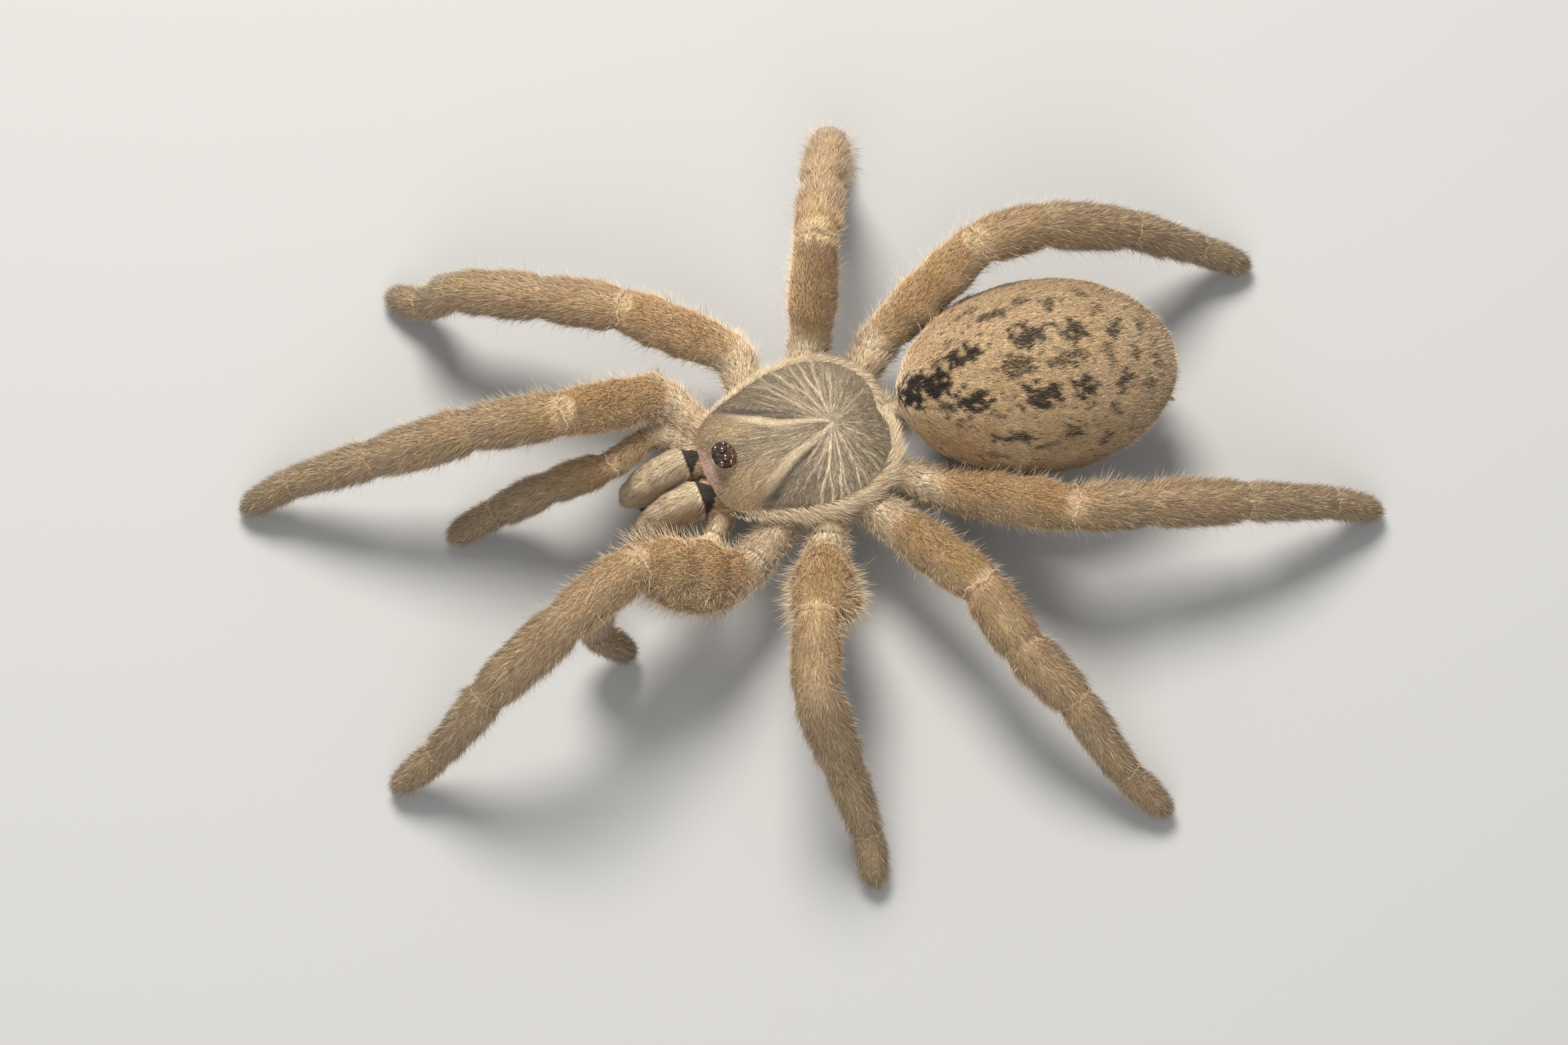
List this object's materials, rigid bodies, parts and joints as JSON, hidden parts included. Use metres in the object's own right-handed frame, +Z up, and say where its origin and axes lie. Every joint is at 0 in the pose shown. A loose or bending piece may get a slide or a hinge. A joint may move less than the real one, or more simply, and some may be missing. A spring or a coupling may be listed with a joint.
{
  "type": "tarantula",
  "caption": "Life-size model of a fawn, densely haired tarantula with a spotted abdomen, standing with its legs spread.",
  "frame": {"origin": "middle of the model's bounding box, on the floor", "axes": "+Z up, head towards -Y, the animal's left side towards +X"},
  "size_m": [0.0812, 0.104, 0.0213],
  "materials": {
    "leg_coat": "dense short fawn hair, pale tips",
    "femur_coat": "short olive-brown hair",
    "tarsus_coat": "grey-brown velvety hair",
    "abdomen_coat": "short cream-tan hair with dark brown spots",
    "carapace": "felted grey-fawn shell with pale lines fanning from the middle groove",
    "eyes": "wet black",
    "fang": "smooth dark horn"
  },
  "bodies": {
    "root": {"abdomen": "abdomen_coat", "carapace": "carapace", "chelicera_left": "leg_coat", "chelicera_right": "leg_coat", "eyes": "eyes", "fang_left": "fang", "fang_right": "fang", "leg_left_1_femur": "femur_coat", "leg_left_1_metatarsus": "leg_coat", "leg_left_1_patella": "leg_coat", "leg_left_1_tarsus": "tarsus_coat", "leg_left_1_tibia": "leg_coat", "leg_left_2_femur": "femur_coat", "leg_left_2_metatarsus": "leg_coat", "leg_left_2_patella": "leg_coat", "leg_left_2_tarsus": "tarsus_coat", "leg_left_2_tibia": "leg_coat", "leg_left_3_femur": "femur_coat", "leg_left_3_metatarsus": "leg_coat", "leg_left_3_patella": "leg_coat", "leg_left_3_tarsus": "tarsus_coat", "leg_left_3_tibia": "leg_coat", "leg_left_4_femur": "femur_coat", "leg_left_4_metatarsus": "leg_coat", "leg_left_4_patella": "leg_coat", "leg_left_4_tarsus": "tarsus_coat", "leg_left_4_tibia": "leg_coat", "leg_right_1_femur": "femur_coat", "leg_right_1_metatarsus": "leg_coat", "leg_right_1_patella": "leg_coat", "leg_right_1_tarsus": "tarsus_coat", "leg_right_1_tibia": "leg_coat", "leg_right_2_femur": "femur_coat", "leg_right_2_metatarsus": "leg_coat", "leg_right_2_patella": "leg_coat", "leg_right_2_tarsus": "tarsus_coat", "leg_right_2_tibia": "leg_coat", "leg_right_3_femur": "femur_coat", "leg_right_3_metatarsus": "leg_coat", "leg_right_3_patella": "leg_coat", "leg_right_3_tarsus": "tarsus_coat", "leg_right_3_tibia": "leg_coat", "leg_right_4_femur": "femur_coat", "leg_right_4_metatarsus": "leg_coat", "leg_right_4_patella": "leg_coat", "leg_right_4_tarsus": "tarsus_coat", "leg_right_4_tibia": "leg_coat", "palp_left_femur": "femur_coat", "palp_left_patella": "leg_coat", "palp_left_tarsus": "tarsus_coat", "palp_left_tibia": "leg_coat", "palp_right_femur": "femur_coat", "palp_right_patella": "leg_coat", "palp_right_tarsus": "tarsus_coat", "palp_right_tibia": "leg_coat", "pedicel": "leg_coat", "prosoma": "leg_coat", "spinneret_left": "leg_coat", "spinneret_right": "leg_coat"}
  },
  "joints": []
}
